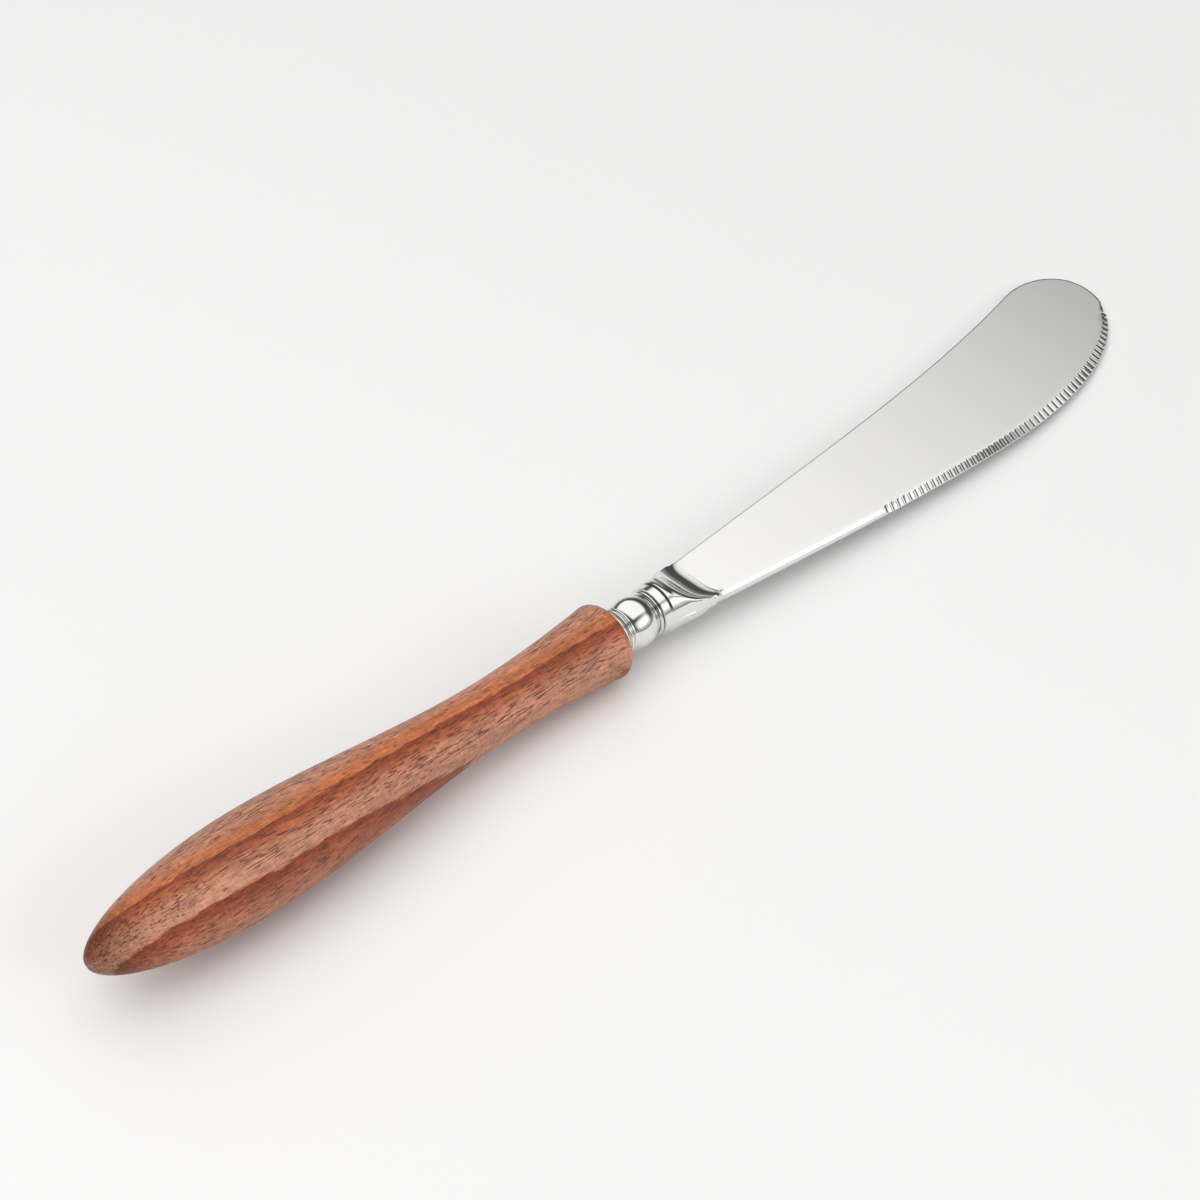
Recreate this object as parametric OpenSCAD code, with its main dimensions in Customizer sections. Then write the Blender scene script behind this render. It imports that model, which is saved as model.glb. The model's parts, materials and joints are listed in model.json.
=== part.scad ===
// Table butter knife: a forged blade with a turned bolster and a hidden tang,
// glued into a turned wooden handle, with a thin steel collar between the two.
// The knife is drawn along its own axis, from the butt end at zero to the tip,
// and is then laid on its side so that the handle's rim and the tip touch the table.

/* [Handle] */
// Length of the wooden handle
handle_len = 88.4; // [80:0.1:100]
// Diameter at the belly, where the handle is thickest
belly_d = 13.9; // [12:0.1:16]
// Distance from the butt end to the belly
belly_x = 25.6; // [20:0.1:32]
// Length that the blunt butt end cuts off the belly's curve
butt_cut = 0.4; // [0.2:0.1:1]
// Diameter at the waist, where the handle is thinnest
waist_d = 8.8; // [8:0.1:11]
// Distance from the butt end to the waist
waist_x = 67; // [60:0.1:74]
// Diameter of the flared rim at the front
rim_d = 11.2; // [9.8:0.1:13]
// Rounding of the front rim
rim_round = 1.3; // [0.5:0.1:2]

/* [Collar] */
// Outer diameter of the collar
collar_d = 8.2; // [7:0.1:8.4]
// Thickness of the collar
collar_t = 0.5; // [0.3:0.1:1]
// Chamfer of the collar's outer edges
collar_chamfer = 0.12; // [0.04:0.02:0.14]

/* [Bolster] */
// Diameter of the ball
ball_d = 7.6; // [7:0.1:9]
// Width of the ball along the knife
ball_w = 4.2; // [3:0.1:4.4]
// Diameter at the bottom of the grooves
groove_d = 5.9; // [5.6:0.1:6.1]
// Width of the groove next to the collar
groove_w = 0.8; // [0.5:0.1:1.2]
// Width of the fine groove behind the ball
fine_groove_w = 0.3; // [0.2:0.05:0.6]
// Outer diameter of the bead rings
bead_d = 6.9; // [6.6:0.1:7.2]
// Width of one bead ring
bead_w = 0.6; // [0.4:0.05:0.8]
// Diameter of the plain band
band_d = 7.3; // [7:0.1:7.6]
// Length of the plain band
band_w = 1.3; // [0.8:0.1:2]
// Diameter of the neck next to the band
neck_d = 7.8; // [7.7:0.1:8.4]
// Length of the neck, from the band to where the blade lies flat
neck_len = 6.6; // [5:0.1:9]
// Length of the shoulder between the band and the neck
shoulder_w = 0.3; // [0.2:0.05:0.6]

/* [Blade] */
// Length of the blade, from the end of the neck to the tip
blade_len = 94.9; // [80:0.1:110]
// Width of the blade at the heel
heel_w = 8.6; // [8.4:0.1:10]
// Height of the spine's crest over the knife's axis
crest_y = 15.1; // [12:0.1:17]
// Depth of the cutting side's belly under the axis
edge_y = 8.8; // [7:0.1:10]
// Height of the foremost point over the axis
nose_y = 8.2; // [5:0.1:10]
// Thickness at the heel, on the axis
heel_t = 1.4; // [1.2:0.1:2]
// Thickness at the tip, on the axis
tip_t = 0.9; // [0.8:0.05:1.2]
// Growth of the thickness from the axis to the spine's crest
wedge_t = 0.3; // [0.05:0.05:0.4]

/* [Edge] */
// Width of the plain edge's bevel, seen from above
bevel_w = 0.4; // [0.2:0.05:0.6]
// Slant of that bevel from the blade's face
bevel_slant = 46; // [35:1:60]
// Width of the relief ground between the face and the bevel
relief_w = 0.15; // [0.1:0.05:0.3]
// Slant of the relief from the blade's face
relief_slant = 12; // [8:1:16]

/* [Serrations] */
// Distance along the knife from the heel to the first flute
teeth_start = 33.2; // [25:0.1:50]
// Distance along the edge from one flute to the next
tooth_pitch = 1.18; // [1:0.02:1.6]
// Bare ridge that is left between two flutes at the edge
tooth_ridge = 0.1; // [0.06:0.01:0.2]
// Depth of a flute under the ridges beside it
flute_depth = 0.15; // [0.08:0.01:0.2]
// Height over the axis at which the flutes end near the tip
teeth_end_y = 2.2; // [-2:0.1:5]
// Height of the plain strip that is left under the flutes
edge_land = 0.15; // [0.1:0.01:0.3]
// Slant of the first flute from the blade's face
first_slant = 46; // [36:1:56]
// Slant of the flutes from the blade's face once it has settled
flute_slant = 27; // [24:1:40]
// Length of edge over which the flutes' slant settles
slant_run = 35; // [20:1:50]

/* [Tang] */
// Diameter of the tang
tang_d = 4.2; // [3.6:0.1:4.6]
// Length of the tang inside the handle
tang_len = 52; // [40:1:58]
// Number of keying grooves round the tang
key_count = 5; // [3:1:7]
// Width of a keying groove
key_w = 1.6; // [1:0.1:2]
// Depth of a keying groove
key_depth = 0.4; // [0.2:0.05:0.6]
// Chamfer at the tang's end
tang_chamfer = 0.6; // [0.3:0.1:1]
// Thickness of the adhesive round the tang
glue_t = 0.3; // [0.2:0.05:0.4]
// Depth of the adhesive behind the tang's end
glue_end = 1.5; // [1:0.1:3]
// Running clearance between the collar and the tang
collar_gap = 0.1; // [0.05:0.01:0.15]

/* [Hidden] */
$fn = 64;
// Facets of the flutes, straight pieces of one curve and of one small arc, and
// straight stretches of the plain edge's bevel
flute_fn = 24;
curve_steps = 16;
arc_steps = 6;
plain_count = 10;

// Radii, and places along the knife's axis
belly_r = belly_d / 2;
waist_r = waist_d / 2;
rim_r = rim_d / 2;
tang_r = tang_d / 2;
bore_r = tang_r + glue_t;
groove_r = groove_d / 2;
bead_r = bead_d / 2;
band_r = band_d / 2;
neck_r = neck_d / 2;
ball_r = ball_d / 2;
tang_end_x = handle_len - tang_len;
seat_x = handle_len + collar_t;
beads_x = seat_x + groove_w;
ball_start_x = beads_x + 2 * bead_w;
ball_end_x = ball_start_x + ball_w;
last_bead_x = ball_end_x + fine_groove_w;
band_x = last_bead_x + bead_w;
neck_x = band_x + band_w;
heel_x = neck_x + neck_len;
tip_x = heel_x + blade_len;

// Shape of the curves, as shares of the sizes that they join
butt_power_share = 0.53;
rim_slope_share = 0.11;
drill_angle = 118;

// The neck's scoop sinks this far under the blade's face, this far past the heel
scoop_sink = heel_t / 8;
scoop_past = neck_len / 5;
// How far the blade's flat reaches back into the neck
root_len = neck_len / 4;
// Radius of the neck where it ends under the blade's faces, and the half width
// to which its sides are ground at the shoulder
neck_end_r = heel_w / 2 + heel_t / 4;
shoulder_side = neck_r + shoulder_w / 3;

// Slopes of the blade's upper face along the knife and towards the spine
taper_slope = (tip_t - heel_t) / 2 / blade_len;
wedge_slope = wedge_t / 2 / crest_y;

function half_t(p) = heel_t / 2 + taper_slope * (p[0] - heel_x) + wedge_slope * p[1];

// A point and a run of points on a cubic curve, without the curve's last point
function cubic(p, t) =
    pow(1 - t, 3) * p[0] + 3 * t * pow(1 - t, 2) * p[1] + 3 * t * t * (1 - t) * p[2] + pow(t, 3) * p[3];
function curve(p, n = curve_steps) = [for (i = [0 : n - 1]) cubic(p, i / n)];

// A profile piece from one radius to another, with the given slopes at its ends
function blend(x0, r0, x1, r1, slope0, slope1) =
    let (third = (x1 - x0) / 3)
    curve([[r0, x0], [r0 + third * slope0, x0 + third], [r1 - third * slope1, x1 - third], [r1, x1]]);

// The handle's profile as [radius, distance from the butt end]
function butt_r(x) =
    belly_r * pow(1 - pow((belly_x - x) / (belly_x + butt_cut), 2), butt_power_share);
rim_lean = atan(rim_slope_share);
rim_start_x = handle_len - rim_round * (1 + sin(rim_lean));
rim_start_r = rim_r - rim_round * (1 - cos(rim_lean));
handle_profile = concat(
    [[0, 0]],
    [for (i = [0 : curve_steps - 1])
        let (x = belly_x * (1 - cos(90 * i / curve_steps))) [butt_r(x), x]],
    blend(belly_x, belly_r, waist_x, waist_r, 0, 0),
    blend(waist_x, waist_r, rim_start_x, rim_start_r, 0, rim_slope_share),
    [for (i = [0 : arc_steps])
        let (a = (90 + rim_lean) * (1 - i / arc_steps))
        [rim_r - rim_round * (1 - sin(a)), handle_len - rim_round * (1 - cos(a))]],
    [[0, handle_len]]);

// One bead ring's half-round profile
function bead(x) = [for (i = [0 : arc_steps])
    let (a = 180 * i / arc_steps)
    [groove_r + (bead_r - groove_r) * sin(a), x + bead_w / 2 * (1 - cos(a))]];

// The bolster's profile up to the neck, without the ball
neck_end_x = heel_x + scoop_past;
bolster_profile = concat(
    [[0, seat_x], [groove_r, seat_x]],
    bead(beads_x),
    bead(beads_x + bead_w),
    [[groove_r, last_bead_x - fine_groove_w]],
    bead(last_bead_x),
    [[band_r, band_x], [band_r, neck_x]],
    [[0, neck_x]]);

// The neck's profile, from its shoulder to its end under the blade's faces
neck_profile = concat(
    [[0, neck_x], [band_r, neck_x]],
    blend(neck_x + shoulder_w, neck_r, neck_end_x, neck_end_r, 0, 0),
    [[neck_end_r, neck_end_x], [0, neck_end_x]]);

// Half of the neck's side view: from above its crest down into the blade's face
scoop_rise = (neck_r - band_r) * 1.5;
scoop_len = neck_end_x - neck_x;
scoop_shares = [0.4, 0.36];
scoop_curve = concat(
    curve([
        [neck_x, neck_r + scoop_rise],
        [neck_x + scoop_shares[0] * scoop_len, neck_r + scoop_rise / 2],
        [neck_x + scoop_shares[1] * scoop_len, heel_t / 2],
        [neck_end_x, heel_t / 2 - scoop_sink]]),
    [[neck_end_x, heel_t / 2 - scoop_sink]]);

// The blade's outline: spine, tip and cutting side, each point in shares of the
// blade's length past the heel and of the height named beside it
spine_end_share = [0.879, 0.970];
spine_shares = [[0.32, 0.48], [0.62, 0.573]];
crown_shares = [[0.938, 1.066], [1, 0.90]];
nose_shares = [[1, -0.114], [0.853, -1]];
belly_share = 0.621;
edge_shares = [[0.463, -1], [0.21, -0.727]];
function on_blade(share, height) = [heel_x + share[0] * blade_len, share[1] * height];
heel_up = [heel_x, heel_w / 2];
heel_low = [heel_x, -heel_w / 2];
spine_end = on_blade(spine_end_share, crest_y);
nose = [tip_x, nose_y];
belly = [heel_x + belly_share * blade_len, -edge_y];
spine_side = concat(
    curve([heel_up, on_blade(spine_shares[0], crest_y), on_blade(spine_shares[1], crest_y), spine_end]),
    curve([spine_end, on_blade(crown_shares[0], crest_y), on_blade(crown_shares[1], crest_y), nose]));
cutting_side = concat(
    curve([heel_low, on_blade(edge_shares[1], edge_y), on_blade(edge_shares[0], edge_y), belly]),
    curve([belly, on_blade(nose_shares[1], edge_y), on_blade(nose_shares[0], edge_y), nose]),
    [nose]);
outline = concat(
    spine_side,
    [for (i = [len(cutting_side) - 1 : -1 : 0]) cutting_side[i]]);

// Length run along the cutting side up to each of its points
edge_runs = [for (i = 0, run = 0; i < len(cutting_side);
    run = run + (i + 1 < len(cutting_side) ? norm(cutting_side[i + 1] - cutting_side[i]) : 0),
    i = i + 1) run];
function edge_point(run) = [
    lookup(run, [for (i = [0 : len(edge_runs) - 1]) [edge_runs[i], cutting_side[i][0]]]),
    lookup(run, [for (i = [0 : len(edge_runs) - 1]) [edge_runs[i], cutting_side[i][1]]])];
teeth_from = lookup(heel_x + teeth_start,
    [for (i = [0 : len(edge_runs) - 1]) [cutting_side[i][0], edge_runs[i]]]);
teeth_to = lookup(teeth_end_y,
    [for (i = [curve_steps : len(edge_runs) - 1]) [cutting_side[i][1], edge_runs[i]]]);
// Radius of a flute that is as wide as its pitch less the ridge, and as deep as named
flute_r = (pow((tooth_pitch - tooth_ridge) / 2, 2) + pow(flute_depth, 2)) / (2 * flute_depth);
// How far one ridge's grinding reaches past the middle of the flute before it
lap = (tooth_pitch - tooth_ridge) / 8;
// Height and length of what the cutters along the edge take away
cut_h = 2 * heel_t;
cut_len = 4 * heel_t;

// How the knife lies: its pitch, and the height and middle of what it covers
rim_x = handle_len - rim_round;
tilt = atan((rim_r - half_t(nose)) / (tip_x - rim_x));
rest_z = max(concat(
    [for (p = handle_profile) p[0] * cos(tilt) + p[1] * sin(tilt)],
    [for (p = outline) half_t(p) * cos(tilt) + p[0] * sin(tilt)]));
back_x = min([for (p = handle_profile) p[1] * cos(tilt) - p[0] * sin(tilt)]);
front_x = max([for (p = outline) p[0] * cos(tilt) + half_t(p) * sin(tilt)]);
side_up = max([for (p = outline) p[1]]);
side_low = min([for (p = outline) p[1]]);

module laid() {
    translate([-(back_x + front_x) / 2, -(side_up + side_low) / 2, rest_z])
        rotate([0, tilt, 0])
            children();
}

// A turned solid along the knife's axis
module turned(profile) {
    rotate([0, 90, 0])
        rotate_extrude()
            polygon(profile);
}

// A round bar along the knife's axis, from one place to another
module bar(x0, x1, r) {
    translate([x0, 0, 0])
        rotate([0, 90, 0])
            cylinder(r = r, h = x1 - x0);
}

// Tang: a round stub with keying grooves and a chamfered end
module tang() {
    key_step = tang_len / (key_count + 1);
    difference() {
        turned([
            [0, tang_end_x], [tang_r - tang_chamfer, tang_end_x],
            [tang_r, tang_end_x + tang_chamfer], [tang_r, seat_x], [0, seat_x]]);
        for (i = [1 : key_count])
            translate([tang_end_x + i * key_step, 0, 0])
                rotate([0, 90, 0])
                    difference() {
                        cylinder(r = bore_r, h = key_w, center = true);
                        cylinder(r = tang_r - key_depth, h = 2 * key_w, center = true);
                    }
    }
}

// Blind bore in the handle, with the drill's point at its end
module bore() {
    bore_end_x = tang_end_x - glue_end;
    point_len = bore_r / tan(drill_angle / 2);
    turned([
        [0, bore_end_x - point_len], [bore_r, bore_end_x],
        [bore_r, handle_len], [0, handle_len]]);
}

// Ball of the bolster, cut flat on both sides
module ball() {
    intersection() {
        translate([(ball_start_x + ball_end_x) / 2, 0, 0])
            sphere(r = ball_r);
        bar(ball_start_x, ball_end_x, ball_d);
    }
}

// Bolster: rings, ball and band
module bolster() {
    ball();
    turned(bolster_profile);
}

// Neck: turned, and scooped down to the blade's faces from above and below
module neck() {
    intersection() {
        turned(neck_profile);
        rotate([90, 0, 0])
            linear_extrude(height = 2 * neck_d, center = true)
                polygon(concat(
                    [for (p = scoop_curve) p],
                    [for (i = [len(scoop_curve) - 1 : -1 : 0]) [scoop_curve[i][0], -scoop_curve[i][1]]]));
    }
}

// Space over the blade's upper face
module over_face() {
    lean = atan(-taper_slope);
    translate([heel_x, 0, heel_t / 2])
        rotate([atan(wedge_slope * cos(lean)), lean, 0])
            translate([-blade_len, -blade_len, 0])
                cube([3 * blade_len, 2 * blade_len, 2 * heel_t]);
}

// Slab between the blade's two faces, from the neck to past the tip
module slab() {
    difference() {
        translate([heel_x - root_len, -blade_len / 2, -heel_t])
            cube([blade_len + 2 * root_len, blade_len, 2 * heel_t]);
        over_face();
        mirror([0, 0, 1])
            over_face();
    }
}

// Everything over a plane that leaves the upper face behind a place on the edge
// and falls outwards at a slant, between two places along the edge
module ground(back, slant, from, to) {
    translate([-back, from, 0])
        rotate([0, slant, 0])
            cube([cut_len, to - from, cut_h]);
}

// Places what it is given on the upper face where the edge has run a given length
module on_edge(run) {
    p = edge_point(run);
    way = edge_point(run + tooth_pitch / 2) - edge_point(run - tooth_pitch / 2);
    translate([p[0], p[1], half_t(p)])
        rotate([0, 0, atan2(way[1], way[0]) - 90])
            children();
}

// One flute's cutter, with the ridge and the relief that lead on to the next flute
module flute(run) {
    slant = lookup(run - teeth_from, [[0, first_slant], [slant_run, flute_slant]]);
    cut = (2 * half_t(edge_point(run)) - edge_land) / tan(slant);
    on_edge(run) {
        translate([-cut, 0, 0])
            rotate([0, slant, 0])
                translate([-flute_r, 0, flute_r])
                    rotate([0, 90, 0])
                        cylinder(r = flute_r, h = cut_len + flute_r, $fn = flute_fn);
        if (run + tooth_pitch <= teeth_to) {
            ground(cut - flute_depth / 2, relief_slant, -lap, tooth_pitch - lap / 2);
            ground(cut - flute_depth / sin(slant), slant, -lap, tooth_pitch - lap / 2);
        }
    }
}

// One stretch of the plain edge's bevel, with the relief over it
module plain_bevel(run, width) {
    on_edge(run) {
        ground(bevel_w + relief_w, relief_slant, -width / 2, width / 2);
        ground(bevel_w, bevel_slant, -width / 2, width / 2);
    }
}

// Blade with its neck: ground to one outline, with a bevelled and fluted edge
module flat_blade() {
    plain_step = teeth_from / plain_count;
    difference() {
        intersection() {
            linear_extrude(height = 2 * neck_d, center = true)
                polygon(concat([[neck_x, shoulder_side]], outline, [[neck_x, -shoulder_side]]));
            union() {
                slab();
                neck();
            }
        }
        for (i = [0 : plain_count - 1])
            plain_bevel((i + 1 / 2) * plain_step, plain_step + bevel_w);
        for (run = [teeth_from : tooth_pitch : teeth_to])
            flute(run);
    }
}

module blade() {
    color([0.78, 0.78, 0.77])
        laid() {
            flat_blade();
            bolster();
            tang();
        }
}

module handle() {
    color([0.62, 0.33, 0.21])
        laid()
            difference() {
                turned(handle_profile);
                bore();
            }
}

module collar() {
    color([0.86, 0.84, 0.8])
        laid()
            turned([
                [tang_r + collar_gap, handle_len], [collar_d / 2 - collar_chamfer, handle_len],
                [collar_d / 2, handle_len + collar_chamfer], [collar_d / 2, seat_x - collar_chamfer],
                [collar_d / 2 - collar_chamfer, seat_x], [tang_r + collar_gap, seat_x]]);
}

module tang_adhesive() {
    color([0.8, 0.7, 0.45])
        laid()
            difference() {
                bore();
                tang();
            }
}

handle();
collar();
blade();
tang_adhesive();
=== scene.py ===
# Table butter knife, dressed for rendering: a turned wooden handle, a thin steel
# collar, a polished forging that is tang, bolster, neck and blade in one, and the
# adhesive that holds its tang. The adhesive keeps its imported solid. The other pieces are
# drawn along the knife's own axis, from the butt end at zero to the tip, and are then
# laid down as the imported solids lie.

import json
import math

import bmesh
import bpy
from bpy.props import FloatProperty, FloatVectorProperty, IntProperty, PointerProperty
from mathutils import Matrix, Vector


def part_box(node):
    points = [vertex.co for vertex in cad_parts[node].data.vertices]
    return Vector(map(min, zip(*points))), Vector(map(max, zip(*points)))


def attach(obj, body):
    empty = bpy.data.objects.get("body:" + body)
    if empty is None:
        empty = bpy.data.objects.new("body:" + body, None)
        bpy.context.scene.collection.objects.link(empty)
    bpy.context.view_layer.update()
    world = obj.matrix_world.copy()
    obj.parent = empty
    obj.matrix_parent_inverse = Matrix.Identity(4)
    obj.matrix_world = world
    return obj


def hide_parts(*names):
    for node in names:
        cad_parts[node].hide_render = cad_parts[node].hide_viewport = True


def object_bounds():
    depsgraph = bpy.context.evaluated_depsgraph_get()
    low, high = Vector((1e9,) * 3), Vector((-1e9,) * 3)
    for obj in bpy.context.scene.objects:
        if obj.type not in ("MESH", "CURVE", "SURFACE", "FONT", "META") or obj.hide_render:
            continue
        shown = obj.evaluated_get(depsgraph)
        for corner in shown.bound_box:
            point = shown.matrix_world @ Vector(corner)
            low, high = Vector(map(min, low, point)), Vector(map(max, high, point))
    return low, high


bl_info = {
    "name": "Table butter knife",
    "version": (1, 0, 0),
    "blender": (4, 5, 0),
    "location": "3D Viewport > Sidebar > Knife",
    "description": "Builds a butter knife with a turned wooden handle and a fluted edge",
    "category": "Add Mesh",
}

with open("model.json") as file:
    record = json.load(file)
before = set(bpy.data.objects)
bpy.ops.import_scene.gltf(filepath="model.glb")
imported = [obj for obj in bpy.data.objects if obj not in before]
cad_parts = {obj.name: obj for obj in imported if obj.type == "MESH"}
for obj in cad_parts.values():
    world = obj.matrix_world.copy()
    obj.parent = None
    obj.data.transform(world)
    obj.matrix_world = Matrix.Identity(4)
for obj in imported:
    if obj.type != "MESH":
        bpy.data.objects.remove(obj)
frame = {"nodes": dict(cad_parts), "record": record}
cad_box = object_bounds()

MM = 0.001


def length(name, text, default_mm, low_mm, high_mm):
    """A length property, given in millimetres and held in metres."""
    return FloatProperty(
        name=name, description=text, default=default_mm * MM, min=low_mm * MM,
        max=high_mm * MM, unit="LENGTH", precision=5,
    )


def slant(name, text, degrees):
    """An angle property, given in degrees."""
    return FloatProperty(
        name=name, description=text, default=math.radians(degrees), subtype="ANGLE",
        unit="ROTATION",
    )


def colour(name, text, rgb):
    """A colour property."""
    return FloatVectorProperty(
        name=name, description=text, default=rgb, size=3, min=0.0, max=1.0, subtype="COLOR",
    )


def amount(name, text, default, low=0.0, high=1.0):
    """A plain number property."""
    return FloatProperty(name=name, description=text, default=default, min=low, max=high)


class HandleSizes(bpy.types.PropertyGroup):
    """Sizes and wood colours of the handle"""

    handle_len: length("Length", "From the butt end to the front rim", 88.4, 80, 100)
    belly_d: length("Belly diameter", "Diameter at the thickest place", 13.9, 12, 16)
    belly_x: length("Belly place", "From the butt end to the belly", 25.6, 20, 32)
    butt_cut: length("Butt cut", "What the blunt end cuts off the curve", 0.4, 0.2, 1)
    waist_d: length("Waist diameter", "Diameter at the thinnest place", 8.8, 8, 11)
    waist_x: length("Waist place", "From the butt end to the waist", 67, 60, 74)
    rim_d: length("Rim diameter", "Diameter of the flared front rim", 11.2, 9.8, 13)
    rim_round: length("Rim rounding", "Rounding of the front rim", 1.3, 0.5, 2)
    bore_d: length("Bore diameter", "Bore for the tang and its adhesive", 4.8, 4, 6)
    bore_x: length("Bore end", "From the butt end to the bore's end", 34.9, 20, 50)
    wood_ground: colour("Wood ground", "Orange-brown end of a growth ring", (0.47, 0.145, 0.05))
    wood_pale: colour("Pale band", "Pinkish middle of a growth ring", (0.50, 0.225, 0.135))
    wood_warm: colour("Warm band", "Brown between streak and pale band", (0.38, 0.105, 0.045))
    wood_dark: colour("Dark streak", "Start of a growth ring", (0.26, 0.05, 0.012))
    wood_pore: colour("Pores", "Dashes of the open pores", (0.10, 0.012, 0.008))


class CollarSizes(bpy.types.PropertyGroup):
    """Sizes and colour of the collar"""

    collar_d: length("Diameter", "Outer diameter of the collar", 8.2, 7, 8.4)
    collar_t: length("Thickness", "Thickness of the collar", 0.5, 0.3, 1)
    collar_bore: length("Bore", "Diameter of the hole for the tang", 4.4, 4, 5)
    collar_lip: length("Lip", "Width of the slanted lip at the rim", 0.12, 0.04, 0.2)
    collar_metal: colour("Metal", "Warm pale metal of the collar", (0.88, 0.84, 0.76))


class ForgingSizes(bpy.types.PropertyGroup):
    """Sizes and colour of the forging: tang, bolster, neck and blade"""

    tang_d: length("Tang diameter", "Diameter of the tang", 4.2, 3.6, 4.6)
    tang_len: length("Tang length", "Length of the tang in the handle", 52, 40, 58)
    key_count: IntProperty(name="Keying grooves", description="Grooves round the tang",
                           default=5, min=3, max=7)
    key_w: length("Groove width", "Width of a keying groove", 1.6, 1, 2)
    key_depth: length("Groove depth", "Depth of a keying groove", 0.4, 0.2, 0.6)
    tang_chamfer: length("Tang chamfer", "Chamfer at the tang's end", 0.6, 0.3, 1)
    groove_d: length("Neck groove diameter", "Diameter at the grooves' bottom", 5.9, 5.6, 6.1)
    groove_w: length("First groove", "Width of the groove at the collar", 0.8, 0.5, 1.2)
    bead_d: length("Bead diameter", "Outer diameter of the bead rings", 6.9, 6.6, 7.2)
    bead_w: length("Bead width", "Width of one bead ring", 0.6, 0.4, 0.8)
    ball_d: length("Ball diameter", "Diameter of the ball", 7.6, 7, 9)
    ball_w: length("Ball width", "Width of the ball along the knife", 4.2, 3, 4.4)
    fine_groove_w: length("Fine groove", "Groove behind the ball", 0.3, 0.2, 0.6)
    band_d: length("Band diameter", "Diameter of the plain band", 7.3, 7, 7.6)
    band_w: length("Band width", "Length of the plain band", 1.3, 0.8, 2)
    shoulder_w: length("Shoulder", "From the band up to the neck", 0.3, 0.2, 0.6)
    neck_d: length("Neck diameter", "Diameter of the neck at the band", 7.8, 7.7, 8.4)
    neck_len: length("Neck length", "From the band to the flat blade", 6.6, 5, 9)
    blade_len: length("Blade length", "From the neck's end to the tip", 94.9, 80, 110)
    heel_w: length("Heel width", "Width of the blade at the heel", 8.6, 8.4, 10)
    crest_y: length("Crest", "Height of the spine's crest over the axis", 15.1, 12, 17)
    edge_y: length("Belly of the edge", "Depth of the edge under the axis", 8.8, 7, 10)
    nose_y: length("Nose", "Height of the foremost point", 8.2, 5, 10)
    heel_t: length("Heel thickness", "Thickness at the heel", 1.4, 1.2, 2)
    tip_t: length("Tip thickness", "Thickness at the tip", 0.9, 0.8, 1.2)
    wedge_t: length("Wedge", "Growth of the thickness up to the crest", 0.3, 0.05, 0.4)
    spine_round: length("Spine rounding", "Polished rounding of the spine", 0.2, 0.05, 0.4)
    steel: colour("Steel", "Colour of the polished steel", (0.80, 0.80, 0.79))


class EdgeSizes(bpy.types.PropertyGroup):
    """Sizes of the bevelled and fluted edge"""

    bevel_w: length("Bevel width", "Width of the plain bevel", 0.4, 0.2, 0.6)
    bevel_slant: slant("Bevel slant", "Slant of the plain bevel", 46)
    relief_w: length("Relief width", "Relief between face and bevel", 0.15, 0.1, 0.3)
    relief_slant: slant("Relief slant", "Slant of the relief", 12)
    teeth_start: length("First flute", "From the heel to the first flute", 33.2, 25, 50)
    tooth_pitch: length("Pitch", "From one flute to the next", 1.18, 1, 1.6)
    tooth_ridge: length("Ridge", "Bare ridge between two flutes", 0.1, 0.06, 0.2)
    flute_depth: length("Flute depth", "Depth under the ridges", 0.15, 0.08, 0.2)
    teeth_end_y: length("Last flute", "Height over the axis at the last flute", 2.2, -2, 5)
    edge_land: length("Land", "Plain strip under the flutes", 0.15, 0.1, 0.3)
    first_slant: slant("First slant", "Slant of the first flute", 46)
    flute_slant: slant("Settled slant", "Slant of the flutes further on", 27)
    slant_run: length("Slant run", "Edge length over which the slant settles", 35, 20, 50)
    roll_w: length("Roll-off", "Width that polishing rounds beside the edge", 0.8, 0, 2)
    roll_depth: length("Roll-off depth", "Depth of that rounding", 0.012, 0, 0.05)


class AdhesiveLook(bpy.types.PropertyGroup):
    """Colour of the adhesive"""

    amber: colour("Amber", "Colour of the cured adhesive", (0.70, 0.50, 0.22))


class StudioSizes(bpy.types.PropertyGroup):
    """Camera, floor and light"""

    camera_azimuth: slant("Camera azimuth", "Side from which the camera looks", -43.98)
    camera_elevation: slant("Camera elevation", "Height angle of the camera", 43.5)
    camera_distance: length("Camera distance", "From the camera to its aim", 475, 100, 3000)
    camera_aim: FloatVectorProperty(
        name="Aim", description="Point that the camera looks at", size=3,
        default=(-0.00372, 0.00596, 0.00169), subtype="TRANSLATION", unit="LENGTH",
    )
    lens: FloatProperty(name="Lens", description="Focal length", default=102.36, min=20,
                        max=300, unit="CAMERA")
    floor_colour: colour("Floor", "Colour of the floor", (0.84, 0.84, 0.84))
    room_tint: colour("Room tint", "Colour of all the light of the room", (1.0, 0.99, 0.98))
    horizon: amount("Horizon", "Light of the room at the horizon", 0.35, 0, 2)
    ceiling: amount("Ceiling", "Light of the room overhead", 0.08, 0, 2)
    top_light: amount("Top panel", "Radiance of the broad panel overhead", 1.1, 0, 20)
    side_light: amount("Side panel", "Radiance of the panel on the right", 1.3, 0, 20)
    side_core: amount("Side core", "Added radiance at the middle of that panel", 4.0, 0, 40)
    fill_light: amount("Fill panel", "Radiance of the broad soft fill", 2.1, 0, 20)


def smooth_step(x):
    """Eases a share between zero and one."""
    x = min(max(x, 0.0), 1.0)
    return x * x * (3 - 2 * x)


def soft_min(a, b, reach):
    """The smaller of two values, with a fillet where they meet."""
    gap = max(reach - abs(a - b), 0.0) / reach
    return min(a, b) - gap * gap * reach / 4


def lookup(x, table):
    """Value at x on straight lines between (place, value) pairs."""
    if x <= table[0][0]:
        return table[0][1]
    for (x0, v0), (x1, v1) in zip(table, table[1:]):
        if x <= x1:
            return v0 + (v1 - v0) * (x - x0) / (x1 - x0)
    return table[-1][1]


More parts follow.
